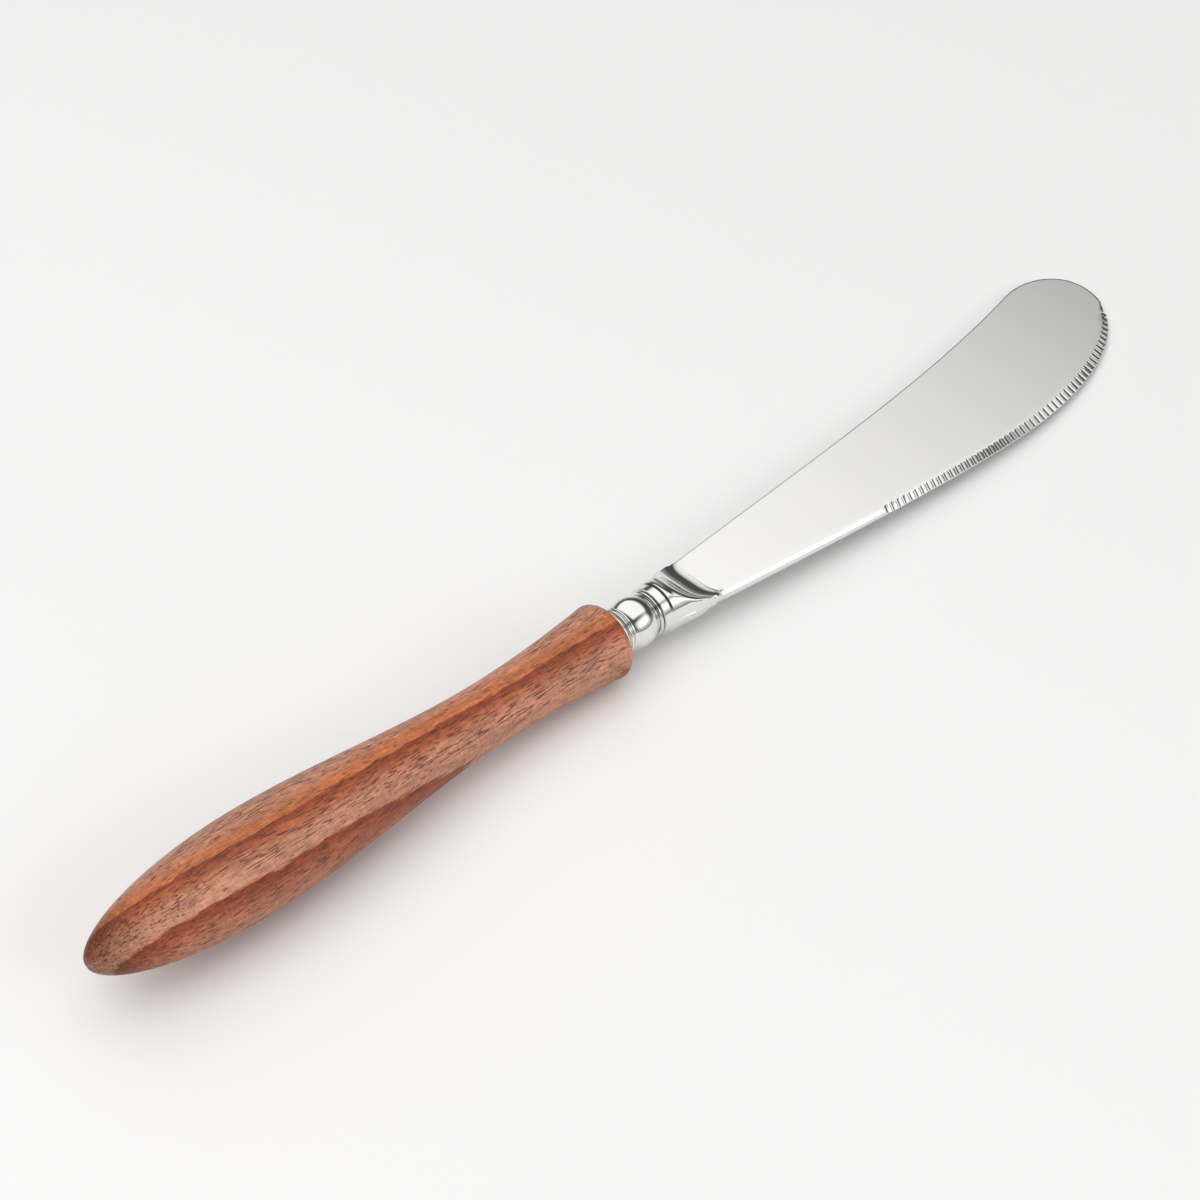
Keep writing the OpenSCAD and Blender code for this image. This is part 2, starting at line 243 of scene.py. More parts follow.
def cubic(points, t):
    """Point on a cubic curve with four control points."""
    u = 1 - t
    return tuple(
        u ** 3 * a + 3 * t * u * u * b + 3 * t * t * u * c + t ** 3 * d
        for a, b, c, d in zip(*points)
    )


def curve(points, count):
    """Points on a cubic curve, without its last one."""
    return [cubic(points, i / count) for i in range(count)]


def blend(start, end, slope_start, slope_end, count):
    """Profile piece between two (place, radius) points with the slopes given."""
    third = (end[0] - start[0]) / 3
    return curve(
        [start, (start[0] + third, start[1] + third * slope_start),
         (end[0] - third, end[1] - third * slope_end), end], count,
    )


def knife_frame():
    """Matrix from the knife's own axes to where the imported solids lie."""
    axes = {m["name"]: Vector(m["axis"]) for m in frame["record"]["mounts"]}
    upright = (axes["blade_face_upper"] - axes["blade_face_lower"]) / 2
    low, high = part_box("collar")
    sizes = bpy.context.scene.knife_handle
    ring = bpy.context.scene.knife_collar
    middle = Vector((sizes.handle_len + ring.collar_t / 2, 0, 0))
    turn = Matrix.Rotation(math.atan2(upright.x, upright.z), 4, "Y")
    return Matrix.Translation((low + high) / 2) @ turn @ Matrix.Translation(-middle)


def skin(mesh, rings, closed=True):
    """Joins rings of vertices; a ring of one vertex is a pole."""
    for one, two in zip(rings, rings[1:]):
        count = max(len(one), len(two))
        for i in range(count if closed else count - 1):
            j = (i + 1) % count
            if len(one) == 1:
                mesh.faces.new((one[0], two[i], two[j]))
            elif len(two) == 1:
                mesh.faces.new((one[i], two[0], one[j]))
            else:
                mesh.faces.new((one[i], two[i], two[j], one[j]))


def turned(mesh, profile, segments):
    """Turns a profile of (place, radius) round the axis; radius zero is a pole."""
    rings = []
    for place, radius in profile:
        if radius <= 0:
            rings.append([mesh.verts.new((place, 0, 0))])
            continue
        ring = []
        for i in range(segments):
            angle = 2 * math.pi * i / segments
            ring.append(mesh.verts.new((place, radius * math.cos(angle), radius * math.sin(angle))))
        rings.append(ring)
    skin(mesh, rings)


def finish_piece(name, mesh, sharp_degrees, material, replaced):
    """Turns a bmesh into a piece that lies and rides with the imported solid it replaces."""
    bmesh.ops.recalc_face_normals(mesh, faces=mesh.faces)
    mesh.transform(knife_frame())
    data = bpy.data.meshes.new(name)
    mesh.to_mesh(data)
    mesh.free()
    data.shade_smooth()
    data.set_sharp_from_angle(angle=math.radians(sharp_degrees))
    data.materials.append(material)
    piece = bpy.data.objects.new(name, data)
    bpy.context.scene.collection.objects.link(piece)
    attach(piece, "root")
    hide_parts(replaced)
    return piece


class NodeTree:
    """Short hand for building a node tree."""

    def __init__(self, tree):
        self.tree = tree

    def add(self, kind):
        return self.tree.nodes.new(kind)

    def link(self, source, target):
        self.tree.links.new(source, target)

    def feed(self, socket, value):
        """Links an output to a socket, or sets the socket's own number or colour."""
        if isinstance(value, bpy.types.NodeSocket):
            self.link(value, socket)
        elif isinstance(value, (int, float)):
            socket.default_value = value
        else:
            socket.default_value = (*value, 1)

    def math(self, operation, first, second=0.0, third=0.0):
        """A calculation with up to three outputs or numbers."""
        node = self.add("ShaderNodeMath")
        node.operation = operation
        for socket, value in zip(node.inputs, (first, second, third)):
            self.feed(socket, value)
        return node.outputs[0]


class Nodes(NodeTree):
    """One material's node tree, with places counted along the knife's own axes."""

    def __init__(self, name):
        self.material = bpy.data.materials.new(name)
        self.material.use_nodes = True
        super().__init__(self.material.node_tree)
        self.shader = self.tree.nodes["Principled BSDF"]
        laid = knife_frame()
        turn = self.add("ShaderNodeMapping")
        turn.vector_type = "TEXTURE"
        turn.inputs["Location"].default_value = laid.translation
        turn.inputs["Rotation"].default_value = laid.to_euler()
        self.link(self.add("ShaderNodeTexCoord").outputs["Object"], turn.inputs["Vector"])
        self.place = turn.outputs[0]

    def noise(self, frequency, detail=2.0, roughness=0.5):
        """Noise with a frequency per metre along, across and up the knife."""
        stretch = self.add("ShaderNodeMapping")
        stretch.inputs["Scale"].default_value = frequency
        self.link(self.place, stretch.inputs["Vector"])
        node = self.add("ShaderNodeTexNoise")
        node.inputs["Scale"].default_value = 1.0
        node.inputs["Detail"].default_value = detail
        node.inputs["Roughness"].default_value = roughness
        self.link(stretch.outputs[0], node.inputs["Vector"])
        return node.outputs["Fac"]

    def ramp(self, value, stops, eased=False):
        """A value run through (place, grey or colour) stops."""
        node = self.add("ShaderNodeValToRGB")
        node.color_ramp.interpolation = "EASE" if eased else "LINEAR"
        marks = node.color_ramp.elements
        while len(marks) < len(stops):
            marks.new(0.5)
        for mark, (at, shade) in zip(marks, stops):
            mark.position = at
            rgb = (shade,) * 3 if isinstance(shade, (int, float)) else tuple(shade)
            mark.color = (*rgb, 1)
        self.link(value, node.inputs[0])
        return node.outputs[0]

    def mix(self, share, first, second, mode="MIX"):
        """A mix of two colours, by a share that is an output or a number."""
        node = self.add("ShaderNodeMix")
        node.data_type, node.blend_type = "RGBA", mode
        for number, value in ((0, share), (6, first), (7, second)):
            self.feed(node.inputs[number], value)
        return node.outputs[2]

    def bump(self, height, strength, distance):
        """Gives the surface a fine relief, whose full height is the distance."""
        node = self.add("ShaderNodeBump")
        node.inputs["Strength"].default_value = strength
        node.inputs["Distance"].default_value = distance
        self.link(height, node.inputs["Height"])
        self.link(node.outputs[0], self.shader.inputs["Normal"])


# Growth rings: the way across the knife in which they follow each other, then millimetres.
# Rings of one step repeat outside the first ring, and inside it lies one wide ring. All bend
# from a place on: evenly towards the butt end, and ever more towards the rim.
GRAIN_SIDE = (-0.94, -0.342)
RING_STEP = 5.2
HEART_STEP = 9.5
FIRST_RING = -0.7
BUTT_BEND = (26.0, 0.07)
RIM_BEND = (47.0, 0.0007)

# Slow and fine wandering of the rings: cycles per metre, roughness, millimetres
WANDERS = (((40, 110, 110), 0.6, 0.8), ((260, 1900, 1900), 0.65, 0.9))

# Textures of the wood: cycles per metre along and across the knife
CLOUD = (70, 480, 480)
MOTTLE = (420, 1500, 1500)
GRAIN = (330, 4600, 4600)
HAIRS = (4200, 420, 420)
PORES = (480, 4200, 4200)

# Noise values between which a texture's tone runs from its low to its high end
TONE_FROM, TONE_TO = 0.3, 0.7
PORE_STRENGTH = 0.72
GRAIN_RELIEF = 0.06 * MM

# Steel: cycles per metre of the uneven gloss and of the polishing marks, and their depth.
# A finish is a roughness and the strength of the marks.
GLOSS_CLOUD = (120, 120, 120)
POLISH_MARKS = (500, 9000, 9000)
MARK_DEPTH = 0.01 * MM
COLLAR_FINISH = (0.3, 0.2)
MIRROR_FINISH = (0.07, 0.06)

GLUE_CLOUD = (400, 400, 400)
GLUE_RIPPLE = 0.1 * MM


def paler(rgb, factor):
    """A colour made lighter, up to white."""
    return tuple(min(1.0, c * factor) for c in rgb)


def past_first_ring(wood, along, side, up):
    """How far outside the first ring a place lies, in millimetres; negative inside it."""
    across = wood.math("ADD", wood.math("MULTIPLY", side, GRAIN_SIDE[0]),
                       wood.math("MULTIPLY", up, GRAIN_SIDE[1]))
    at_butt = wood.math("MAXIMUM", wood.math("SUBTRACT", BUTT_BEND[0], along), 0.0)
    across = wood.math("MULTIPLY_ADD", at_butt, BUTT_BEND[1], across)
    at_rim = wood.math("MAXIMUM", wood.math("SUBTRACT", along, RIM_BEND[0]), 0.0)
    rim_bend = wood.math("MULTIPLY", wood.math("MULTIPLY", at_rim, at_rim), RIM_BEND[1])
    across = wood.math("SUBTRACT", across, rim_bend)
    for frequency, roughness, reach in WANDERS:
        noise = wood.noise(frequency, 3, roughness)
        across = wood.math("ADD", across, wood.math("MULTIPLY_ADD", noise, reach, -reach / 2))
    return wood.math("SUBTRACT", across, FIRST_RING)


def turned_wood(sizes):
    """Reddish hardwood: growth rings that the turning cuts into streaks, with open pores."""
    wood = Nodes("turned_wood")
    split = wood.add("ShaderNodeSeparateXYZ")
    wood.link(wood.place, split.inputs[0])
    along, side, up = (wood.math("DIVIDE", axis, MM) for axis in split.outputs)
    past = past_first_ring(wood, along, side, up)
    inner = wood.math("MULTIPLY_ADD", past, 1 / HEART_STEP, 1.0)
    outer = wood.math("FRACT", wood.math("DIVIDE", past, RING_STEP))
    is_outer = wood.math("GREATER_THAN", past, 0.0)
    ring = wood.math("ADD", wood.math("MULTIPLY", outer, is_outer),
                     wood.math("MULTIPLY", inner, wood.math("SUBTRACT", 1.0, is_outer)))
    dark, warm, pale = sizes.wood_dark, sizes.wood_warm, sizes.wood_pale
    ground = sizes.wood_ground
    heart = wood.ramp(inner, [
        (0.0, dark), (0.12, dark), (0.36, warm), (0.54, pale), (0.72, pale), (0.88, ground),
        (0.985, ground), (1.0, dark)])
    rind = wood.ramp(outer, [
        (0.0, dark), (0.07, dark), (0.28, warm), (0.6, pale), (0.97, pale), (1.0, dark)])
    shade = wood.mix(is_outer, heart, rind)
    cloud = wood.noise(CLOUD, 2, 0.6)
    mottle = wood.noise(MOTTLE, 4, 0.75)
    grain = wood.noise(GRAIN, 2, 0.6)
    hairs = wood.noise(HAIRS, 2, 0.6)
    for texture, low, high in ((cloud, 0.86, 1.14), (mottle, 0.66, 1.3), (grain, 0.78, 1.22),
                               (hairs, 0.84, 1.12)):
        tone = wood.ramp(texture, [(TONE_FROM, low), (TONE_TO, high)])
        shade = wood.mix(1.0, shade, tone, "MULTIPLY")
    # Pores are dashes where their noise is low, and are sparser at a ring's start and end
    pores = wood.noise(PORES, 1, 0.5)
    sparse = wood.ramp(ring, [(0.0, 0.03), (0.08, 0.0), (0.7, 0.0), (0.85, 0.08)])
    dashes = wood.ramp(wood.math("ADD", pores, sparse), [(0.38, 1.0), (0.44, 0.0)])
    shade = wood.mix(wood.math("MULTIPLY", dashes, PORE_STRENGTH), shade, sizes.wood_pore)
    # The butt end is painted darker, up to about a third of the way to the belly: painted shade
    # where the rounded end turns away from the light, and darker end grain on its very end
    butt = wood.math("DIVIDE", along, sizes.belly_x / MM)
    butt = wood.ramp(butt, [(0.0, 0.5), (0.35, 1.0)], eased=True)
    shade = wood.mix(1.0, shade, butt, "MULTIPLY")
    wood.link(shade, wood.shader.inputs["Base Color"])
    wood.link(wood.ramp(mottle, [(0.2, 0.38), (0.8, 0.55)]), wood.shader.inputs["Roughness"])
    wood.shader.inputs["Specular IOR Level"].default_value = 0.35
    wood.shader.inputs["Coat Weight"].default_value = 0.08
    wood.shader.inputs["Coat Roughness"].default_value = 0.25
    height = wood.math("SUBTRACT", wood.math("MULTIPLY_ADD", hairs, 0.5, grain), dashes)
    wood.bump(height, 0.6, GRAIN_RELIEF)
    return wood.material


def polished_steel(name, tint, finish):
    """Polished steel with faint polishing marks and a slightly uneven gloss."""
    roughness, marked = finish
    steel = Nodes(name)
    steel.shader.inputs["Metallic"].default_value = 1.0
    steel.shader.inputs["Base Color"].default_value = (*tint, 1)
    cloud = steel.noise(GLOSS_CLOUD, 3, 0.6)
    uneven = steel.math("MULTIPLY_ADD", cloud, roughness, roughness / 2)
    steel.link(uneven, steel.shader.inputs["Roughness"])
    steel.bump(steel.noise(POLISH_MARKS, 2, 0.5), marked, MARK_DEPTH)
    return steel.material


def cured_adhesive(tint):
    """Amber adhesive with a slightly rippled surface."""
    glue = Nodes("cured_adhesive")
    cloud = glue.noise(GLUE_CLOUD, 3, 0.6)
    glue.link(glue.mix(cloud, tint, paler(tint, 1.25)), glue.shader.inputs["Base Color"])
    glue.shader.inputs["Roughness"].default_value = 0.32
    glue.bump(cloud, 0.4, GLUE_RIPPLE)
    return glue.material


# The handle's and the ball's surfaces lie this far inside those of the solids
POLISH = 0.02 * MM

# Mesh steps of the turned pieces; their edges stay sharp over the crease angle, in degrees
CURVE_STEPS = 48
ARC_STEPS = 16
LIP_STEPS = 8
TURN_SEGMENTS = 160
TURNED_CREASE = 40
SAME_PLACE = 1e-7

# Shape of the handle that no size gives: roundness of the butt, slope at the rim, drill point
BUTT_POWER = 0.53
RIM_SLOPE = 0.11
DRILL_HALF_ANGLE = math.radians(59)


def handle_profile(h):
    """The handle's outside and bore as one run of (place, radius)."""
    belly, waist, rim = h.belly_d / 2, h.waist_d / 2, h.rim_d / 2
    points = [(0.0, 0.0)]
    for i in range(CURVE_STEPS):
        place = h.belly_x * (1 - math.cos(math.pi / 2 * i / CURVE_STEPS))
        share = (h.belly_x - place) / (h.belly_x + h.butt_cut)
        points.append((place, belly * (1 - share * share) ** BUTT_POWER))
    lean = math.atan(RIM_SLOPE)
    rim_start = (h.handle_len - h.rim_round * (1 + math.sin(lean)),
                 rim - h.rim_round * (1 - math.cos(lean)))
    points += blend((h.belly_x, belly), (h.waist_x, waist), 0, 0, CURVE_STEPS)
    points += blend((h.waist_x, waist), rim_start, 0, RIM_SLOPE, CURVE_STEPS)
    for i in range(ARC_STEPS + 1):
        angle = (math.pi / 2 + lean) * (1 - i / ARC_STEPS)
        points.append((h.handle_len - h.rim_round * (1 - math.cos(angle)),
                       rim - h.rim_round * (1 - math.sin(angle))))
    points = [(place, max(radius - POLISH, 0.0)) for place, radius in points]
    bore = h.bore_d / 2
    drill_point = h.bore_x - bore / math.tan(DRILL_HALF_ANGLE)
    return points + [(h.handle_len, bore), (h.bore_x, bore), (drill_point, 0.0)]


class KNIFE_OT_handle(bpy.types.Operator):
    """Turn the wooden handle with its bore"""

    bl_idname = "knife.handle"
    bl_label = "Turned handle"

    def execute(self, context):
        sizes = context.scene.knife_handle
        mesh = bmesh.new()
        turned(mesh, handle_profile(sizes), TURN_SEGMENTS)
        finish_piece("turned_handle", mesh, TURNED_CREASE, turned_wood(sizes),
                     "handle")
        return {"FINISHED"}


class KNIFE_OT_collar(bpy.types.Operator):
    """Turn the thin collar between handle and bolster"""

    bl_idname = "knife.collar"
    bl_label = "Collar"

    def execute(self, context):
        ring = context.scene.knife_collar
        start = context.scene.knife_handle.handle_len
        end, outer, bore = start + ring.collar_t, ring.collar_d / 2, ring.collar_bore / 2
        # Each face dips slightly from the bore out to the lip that slants up to the rim
        back = []
        for i in range(LIP_STEPS + 1):
            inset = ring.collar_lip * (1 - math.sin(math.pi / 2 * i / LIP_STEPS))
            back.append((start + inset, outer - inset))
        front = [(start + end - place, radius) for place, radius in reversed(back)]
        mesh = bmesh.new()
        turned(mesh, [(start, bore), *back, *front, (end, bore), (start, bore)], TURN_SEGMENTS)
        bmesh.ops.remove_doubles(mesh, verts=mesh.verts, dist=SAME_PLACE)
        metal = polished_steel("collar_steel", ring.collar_metal, COLLAR_FINISH)
        finish_piece("steel_collar", mesh, TURNED_CREASE, metal, "collar")
        return {"FINISHED"}


# Each ring has ROWS points on either side, within ROW_ANGLE of its widest place, and
# FACE_POINTS over and under. ROWS is also the number of points in a section of the blade.
ROWS = 10
ROW_ANGLE = math.radians(9.5)
FACE_POINTS = 84

# Steps of the curves and of the mesh, and short reaches for finding the outline's direction.
# Edges stay sharp over the crease angle, in degrees.
NECK_STEPS = 90
SCOOP_STEPS = 160
PLAN_STEPS = 120
SPINE_STEP = 0.45 * MM
PLAIN_STEP = 0.8 * MM
FLUTE_COLUMNS = 6
PLAN_PROBE = 0.2 * MM
EDGE_PROBE = 0.3 * MM
FORGED_CREASE = 24

# From the heel to the join with the blade's own mesh, over what length the neck's sides turn
# into the blade's, and by how much the turned surface is raised there, out of the way
JOIN_LEN = 2.2 * MM
GROUND_LEN = 2.4 * MM
FREE_HEIGHT = 2.0 * MM

# Fillet between the turned neck and the scoop: reach at the ends and between, how soon it
# swells, and up to where it holds
CORNER_AT_ENDS = 0.05 * MM
CORNER_BETWEEN = 1.2 * MM
CORNER_SWELL = 1.5 * MM
CORNER_HOLD = 4.0 * MM

# The scoop: rise over the neck as a share of how much wider the neck is than the band,
# places of the two middle control points along it, height of the second as a share of the
# heel's thickness, how far it ends under the face, bend forward at the sides, and reach of its
# fillet with the face
SCOOP_RISE = 0.6
SCOOP_PLACES = (0.38, 0.36)
SCOOP_FOOT = 0.68
SCOOP_UNDERCUT = 0.04 * MM
SCOOP_BEND = 1.15 * MM
SCOOP_RUNOUT = 0.1 * MM

# The edge: stations beside the first and the last flute, counted from its middle, the length
# before the last one over which flutes get shorter and by what share, and the length over
# which the bevel turns into the spine's rounding
RUN_IN = tuple(d * MM for d in (1.0, 0.95, 0.9, 0.8, 0.7, 0.62))
NOSE_RUN = 14.0 * MM
NOSE_NARROWING = 0.4
END_BLEND = 2.5 * MM

# Rows of the edge's section: the corner broken at the edge, the least gap between two rows,
# the share of the roll-off where its middle row lies, and the rows of the underside
EDGE_BREAK = 0.03 * MM
ROW_GAP = 0.02 * MM
ROLL_MIDDLE = 0.45
UNDER_ROWS = (0.2 * MM, 0.4 * MM)


class Forging:
    """Places and curves of the forging, worked out from its sizes."""

    def __init__(self, scene):
        self.f, self.e = scene.knife_forging, scene.knife_edge
        f = self.f
        self.handle_len = scene.knife_handle.handle_len
        self.seat = self.handle_len + scene.knife_collar.collar_t
        self.beads = self.seat + f.groove_w
        self.ball_start = self.beads + 2 * f.bead_w
        self.ball_end = self.ball_start + f.ball_w
        self.last_bead = self.ball_end + f.fine_groove_w
        self.band = self.last_bead + f.bead_w
        self.neck = self.band + f.band_w
        self.heel = self.neck + f.neck_len
        self.tip = self.heel + f.blade_len
        self.neck_end = self.heel + f.neck_len / 5
        self.join = self.heel + JOIN_LEN
        self.taper = (f.tip_t - f.heel_t) / 2 / f.blade_len
        self.wedge = f.wedge_t / 2 / f.crest_y
        self.plan_curves()
        self.neck_curve()
        self.scoop_curve()

    def half_t(self, x, y):
        """Half the blade's thickness at a place."""
        return self.f.heel_t / 2 + self.taper * (x - self.heel) + self.wedge * y

    def on_blade(self, share, height):
        """Plan point at shares of the blade's length and of a height."""
        return (self.heel + share[0] * self.f.blade_len, share[1] * height)

    def plan_curves(self):
        """The blade's outline: spine with crown, and cutting side, as dense points."""
        # Control points are shares of the blade's length and of the crest or the belly
        f, count = self.f, PLAN_STEPS
        spine_end = self.on_blade((0.879, 0.970), f.crest_y)
        nose = (self.tip, f.nose_y)
        belly = (self.heel + 0.621 * f.blade_len, -f.edge_y)
        self.spine = curve(
            [(self.heel, f.heel_w / 2), self.on_blade((0.32, 0.48), f.crest_y),
             self.on_blade((0.62, 0.573), f.crest_y), spine_end], count)
        self.spine += curve(
            [spine_end, self.on_blade((0.938, 1.066), f.crest_y),
             self.on_blade((1, 0.90), f.crest_y), nose], count) + [nose]
        self.edge = curve(
            [(self.heel, -f.heel_w / 2), self.on_blade((0.21, -0.727), f.edge_y),
             self.on_blade((0.463, -1), f.edge_y), belly], count)
        self.edge += curve(
            [belly, self.on_blade((0.853, -1), f.edge_y),
             self.on_blade((1, -0.114), f.edge_y), nose], count) + [nose]

    def neck_curve(self):
        """The turned neck as (place, radius), up to the end of the scoop."""
        f = self.f
        start = (self.neck + f.shoulder_w, f.neck_d / 2)
        end = (self.neck_end, f.heel_w / 2 + f.heel_t / 4)
        self.neck_radii = [(self.neck, f.band_d / 2)]
        self.neck_radii += blend(start, end, 0, 0, CURVE_STEPS) + [end]

    def scoop_curve(self):
        """Height of the scoop over the axis, along the neck: a wall that runs out gently."""
        f = self.f
        rise = (f.neck_d - f.band_d) * SCOOP_RISE
        first, second = (self.neck + s * (self.neck_end - self.neck) for s in SCOOP_PLACES)
        end = (self.neck_end, f.heel_t / 2 - SCOOP_UNDERCUT)
        self.scoop = curve(
            [(self.neck, f.neck_d / 2 + rise), (first, f.neck_d / 2 + rise / 2),
             (second, f.heel_t * SCOOP_FOOT), end], SCOOP_STEPS)
        # Past its end it drops away under the blade's face, which is then the higher one
        self.scoop += [end, (self.join + JOIN_LEN, -f.neck_d)]

    def side(self, x, points):
        """Plan half width at a place, on the neck and on the blade."""
        if x < self.heel:
            shoulder = self.f.neck_d / 2 + self.f.shoulder_w / 3
            share = (x - self.neck) / (self.heel - self.neck)
            return shoulder + (self.f.heel_w / 2 - shoulder) * share
        return abs(lookup(x, points[:PLAN_STEPS + 1]))

    def plan_point(self, x, points, way):
        """Point of the outline at a place, and the direction out of the blade there."""
        before, after = (
            (x + d, way * self.side(x + d, points)) for d in (-PLAN_PROBE * way, PLAN_PROBE * way))
        return (x, way * self.side(x, points)), outward_at(before, after)

    def bolster_profile(self):
        """Tang, rings, ball and band as (place, radius)."""
        f = self.f
        tang, groove, bead = f.tang_d / 2, f.groove_d / 2, f.bead_d / 2
        tang_end = self.handle_len - f.tang_len
        points = [(tang_end, 0.0), (tang_end, tang - f.tang_chamfer),
                  (tang_end + f.tang_chamfer, tang)]
        for i in range(f.key_count):
            middle = tang_end + (i + 1) * f.tang_len / (f.key_count + 1)
            points += [(middle - f.key_w / 2, tang), (middle - f.key_w / 2, tang - f.key_depth),
                       (middle + f.key_w / 2, tang - f.key_depth), (middle + f.key_w / 2, tang)]
        points += [(self.seat, tang), (self.seat, groove)]
        for start in (self.beads, self.beads + f.bead_w):
            points += self.bead(start, groove, bead)
        middle, ball = (self.ball_start + self.ball_end) / 2, f.ball_d / 2 - POLISH
        for i in range(4 * ARC_STEPS + 1):
            place = self.ball_start + f.ball_w * i / (4 * ARC_STEPS)
            points.append((place, math.sqrt(ball ** 2 - (place - middle) ** 2)))
        points.append((self.ball_end, groove))
        points += self.bead(self.last_bead, groove, bead)
        band, soft = f.band_d / 2, f.shoulder_w / 3
        points += [(self.band, band - soft), (self.band + soft / 3, band - soft / 3),
                   (self.band + soft, band), (self.neck - soft, band)]
        return points

    def bead(self, start, groove, bead):
        """One bead ring's half-round."""
        width = self.f.bead_w
        return [(start + width / 2 * (1 - math.cos(math.pi * i / ARC_STEPS)),
                 groove + (bead - groove) * math.sin(math.pi * i / ARC_STEPS))
                for i in range(ARC_STEPS + 1)]


def ring_angles():
    """Angles of one ring: spine side, underside, cutting side and upper side."""
    side = [ROW_ANGLE * (1 - 2 * i / (ROWS - 1)) for i in range(ROWS)]
    span = math.pi - 2 * ROW_ANGLE
    under = [-ROW_ANGLE - span * (i + 1) / (FACE_POINTS + 1) for i in range(FACE_POINTS)]
    cutting = [-math.pi - a for a in side[::-1]]
    upper = [-math.pi - ROW_ANGLE - span * (i + 1) / (FACE_POINTS + 1)
             for i in range(FACE_POINTS)]
    return side + under + cutting + upper


def round_ring(place, radius):
    """A round ring with the same points as the neck's and the blade's."""
    return [(place, radius * math.cos(a), radius * math.sin(a)) for a in ring_angles()]


def neck_ring(shape, edge, place):
    """The turned neck at one place, cut by the scoops and by the blade's ground sides."""
    radius = lookup(place, shape.neck_radii)
    spine_y = shape.side(place, shape.spine)
    edge_y = shape.side(place, shape.edge)
    ground = smooth_step((place - shape.heel) / GROUND_LEN)
    ring = []
    for angle in ring_angles():
        widest = (spine_y if math.cos(angle) > 0 else edge_y) / math.cos(ROW_ANGLE)
        ring.append([min(radius, widest) * math.cos(angle), radius * abs(math.sin(angle))])
    # Both sides turn from the round neck into the blade's own sections
    flanks = {0: section(shape, *shape.plan_point(place, shape.spine, 1), spine_rows(shape.f)),
              ROWS + FACE_POINTS: section(shape, *shape.plan_point(place, shape.edge, -1),
                                          edge.rows(edge.run_at(place)))[::-1]}
    points = [None] * len(ring)
    for start, cut in flanks.items():
        for i, target in enumerate(cut):
            y, height = ring[start + i]
            x = place + (target.x - place) * ground
            y += (target.y - y) * ground
            whole = neck_height(shape, place, y, height + ground * FREE_HEIGHT)
            sunk = shape.half_t(target.x, target.y) - abs(target.z)
            points[start + i] = Vector((x, y, math.copysign(whole - ground * sunk, target.z)))
    # Over and under, the points lie on straight lines between the two sides
    spans = ((ROWS, ROWS - 1, ROWS + FACE_POINTS),
             (2 * ROWS + FACE_POINTS, 2 * ROWS + FACE_POINTS - 1, 0))
    for start, before, after in spans:
        one, two = points[before], points[after]
        for i in range(start, start + FACE_POINTS):
            share = (ring[i][0] - ring[before][0]) / (ring[after][0] - ring[before][0])
            middle = one.lerp(two, share)
            height = math.sqrt(max(radius ** 2 - middle.y ** 2, 0.0)) + ground * FREE_HEIGHT
            z = neck_height(shape, place, middle.y, height)
            points[i] = Vector((middle.x, middle.y, z if start > 2 * ROWS else -z))
    return points


def neck_height(shape, place, y, height):
    """Half height of the neck: the turned surface, cut by the scoop or the blade's face."""
    run, whole = place - shape.neck, shape.join - shape.neck
    share = smooth_step(run / CORNER_SWELL)
    share *= 1 - smooth_step((run - CORNER_HOLD) / (whole - CORNER_HOLD))
    fillet = CORNER_AT_ENDS + (CORNER_BETWEEN - CORNER_AT_ENDS) * share
    bend = SCOOP_BEND * (2 * y / shape.f.heel_w) ** 4
    scoop = lookup(place - bend, shape.scoop)
    limit = -soft_min(-scoop, -shape.half_t(place, y), SCOOP_RUNOUT)
    return soft_min(height, limit, fillet)


def outline_stations(shape):
    """Stations along the spine, from the join to the nose."""
    start = (shape.join, shape.side(shape.join, shape.spine))
    spine = resampled([p for p in shape.spine if p[0] > shape.join], SPINE_STEP)
    return [start] + [p for p in spine if math.dist(p, start) > SPINE_STEP / 2]


def resampled(points, step):
    """Points at even steps along a run of points, its last point among them."""
    runs = running(points)
    count = max(int(runs[-1] / step), 1)
    return [along(points, runs, runs[-1] * i / count) for i in range(count + 1)]


def running(points):
    """Length run up to each point of a run of points."""
    runs = [0.0]
    for one, two in zip(points, points[1:]):
        runs.append(runs[-1] + math.dist(one, two))
    return runs


def along(points, runs, run):
    """Point at a length run along a run of points."""
    return (lookup(run, list(zip(runs, (p[0] for p in points)))),
            lookup(run, list(zip(runs, (p[1] for p in points)))))


